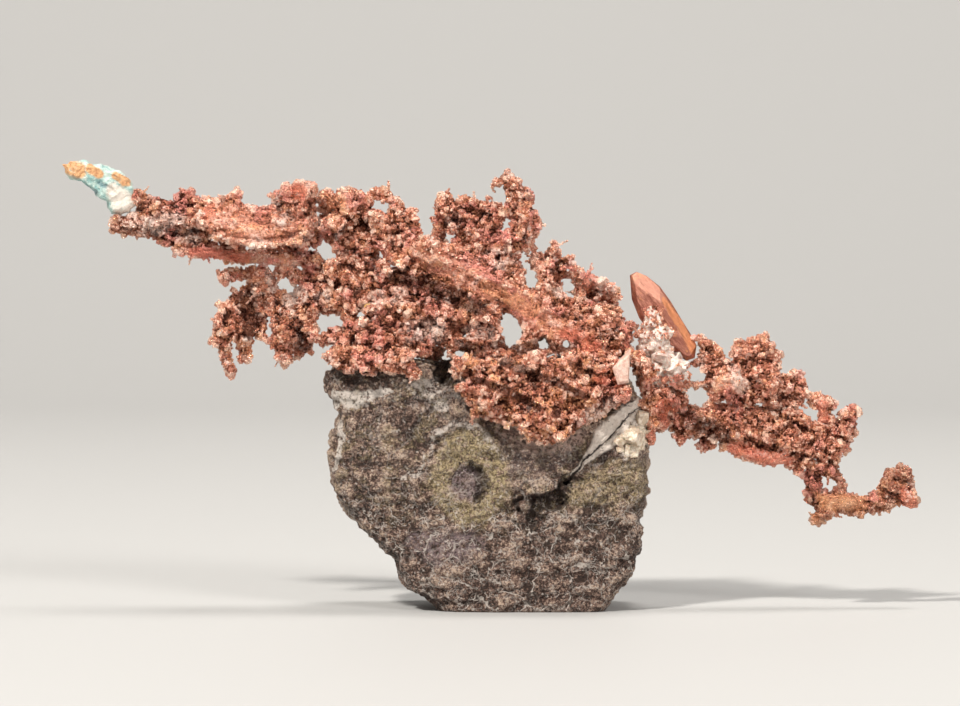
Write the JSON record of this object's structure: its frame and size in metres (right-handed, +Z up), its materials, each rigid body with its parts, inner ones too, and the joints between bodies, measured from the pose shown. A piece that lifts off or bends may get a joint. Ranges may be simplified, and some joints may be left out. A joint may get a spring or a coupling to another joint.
{
  "type": "native copper on basalt mineral specimen",
  "caption": "Mineral specimen: a branching spray of crystallised native copper grown along the top of a broken piece of basalt that stands on a flat base.",
  "frame": {"origin": "on the basalt's flat sawn base, where the rock rests, under the middle of the specimen", "axes": "+Z up out of the base, +X along the spray of copper to the right of the displayed side, -Y towards the viewer of the displayed side"},
  "size_m": [0.1282, 0.0235, 0.067],
  "materials": {
    "copper_pink": "native copper, bright salmon-pink crystal faces over darker brown hollows",
    "copper_brown": "native copper, duller brown to brick red",
    "copper_orange": "native copper, clean orange with smooth shiny crystal faces",
    "coated_copper": "native copper under a thin matt film, pale blue-green and white, orange where it is bare",
    "calcite": "waxy white to pale pink calcite",
    "basalt": "rough dark grey-brown lava rock with pale speckles, fine cracks and olive fillings"
  },
  "bodies": {
    "root": {"basalt_matrix": "basalt", "calcite_knot": "calcite", "copper_west_tip": "coated_copper", "copper_spear_crystal": "copper_orange", "copper_east_knot": "copper_orange", "copper_east_tail": "copper_orange", "copper_hanging_fan": "copper_brown", "copper_hanging_lobe": "copper_brown", "copper_apron": "copper_brown", "copper_east_rod": "copper_brown", "copper_east_mushroom": "copper_brown", "copper_trunk": "copper_pink", "copper_west_spar": "copper_pink", "copper_west_blade": "copper_pink", "copper_stub": "copper_pink", "copper_arch": "copper_pink", "copper_crown": "copper_pink", "copper_tower": "copper_pink", "copper_comb": "copper_pink", "copper_east_block": "copper_pink"}
  },
  "joints": []
}
